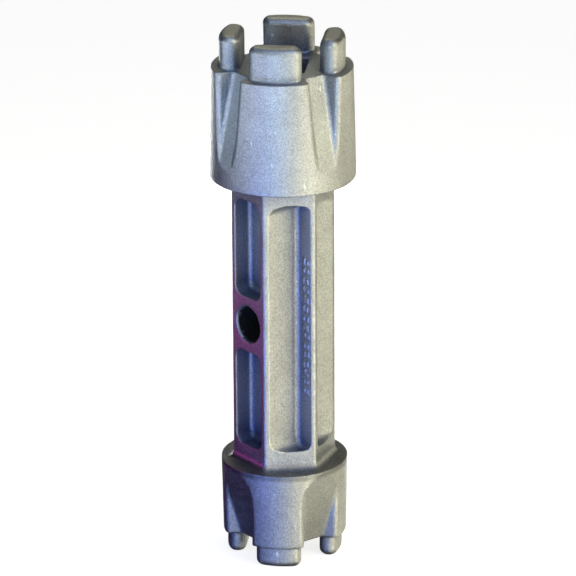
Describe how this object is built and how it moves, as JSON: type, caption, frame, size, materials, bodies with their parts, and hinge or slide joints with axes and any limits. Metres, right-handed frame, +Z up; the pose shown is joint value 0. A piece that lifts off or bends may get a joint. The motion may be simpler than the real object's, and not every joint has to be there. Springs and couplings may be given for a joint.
{
  "type": "double-ended crown wrench",
  "caption": "Cast hand wrench with a lugged crown head at each end of a recessed hexagonal shank that has a cross hole for a turning bar.",
  "frame": {"origin": "middle of the four lug tips of the small crown, which is the base it stands on", "axes": "+Z up along the wrench to the large crown, +Y along the cross hole; the lugs of both crowns point halfway between X and Y"},
  "size_m": [0.0382, 0.0382, 0.1435],
  "materials": {
    "cast_aluminium": "as cast and shot blasted, fine even grain, satin"
  },
  "bodies": {
    "root": {"small_crown_head": "cast_aluminium", "hex_shank": "cast_aluminium", "large_crown_head": "cast_aluminium"}
  },
  "joints": []
}
